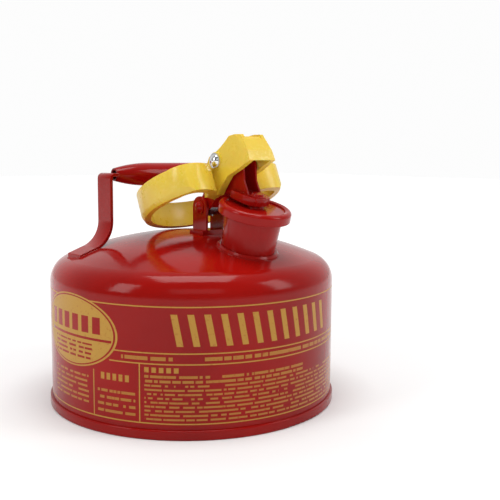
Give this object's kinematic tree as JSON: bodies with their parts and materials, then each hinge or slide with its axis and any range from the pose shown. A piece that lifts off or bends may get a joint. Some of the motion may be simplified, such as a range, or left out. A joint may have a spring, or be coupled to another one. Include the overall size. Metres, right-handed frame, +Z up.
{
  "type": "safety gas can",
  "caption": "Round steel safety can for fuel with a self-closing spout cap, an inner flame arrester, a fixed carrying handle and a finger ring that pulls the cap open.",
  "frame": {"origin": "centre of the base, on the surface that the can stands on", "axes": "+Z up, -Y towards the spout, X along the carrying handle"},
  "size_m": [0.2286, 0.2286, 0.2094],
  "materials": {
    "red_paint": "gloss",
    "yellow_plastic": "satin",
    "plain_steel": "satin",
    "spring_steel": "satin",
    "bright_rivet": "polished",
    "seal_rubber": "matte"
  },
  "bodies": {
    "can": {"can_body": "red_paint", "can_bottom": "red_paint", "spout_tube": "red_paint", "spout_flange": "red_paint", "arrester_screen": "plain_steel", "arrester_collar": "plain_steel", "hinge_bracket": "red_paint", "hinge_pin": "red_paint", "hinge_washers": "red_paint", "handle_strap": "red_paint", "handle_grip": "red_paint"},
    "lever": {"cap_lever": "red_paint", "hinge_bush": "plain_steel", "closing_spring": "spring_steel", "cap_lid": "red_paint", "cap_gasket": "seal_rubber", "gasket_retainer": "plain_steel", "cap_stem": "red_paint", "cap_spring": "red_paint", "stem_washer": "red_paint"},
    "trigger": {"trigger_ring": "yellow_plastic", "trigger_rivet": "bright_rivet", "rivet_washers": "bright_rivet"}
  },
  "joints": [
    {"name": "cap_hinge", "type": "hinge", "parent": "can", "child": "lever", "pos_m": [0, -0.021, 0.154], "axis": [-1, 0, 0], "range_deg": [0, 22], "stiffness_Nm_per_rad": 0.35, "springref_deg": -34.38},
    {"name": "trigger_pivot", "type": "hinge", "parent": "lever", "child": "trigger", "pos_m": [0, -0.045, 0.19], "axis": [-1, 0, 0], "range_deg": [-22, 0]}
  ],
  "couplings": [
    {"joint": "trigger_pivot", "follows": "cap_hinge", "ratio": -1}
  ]
}
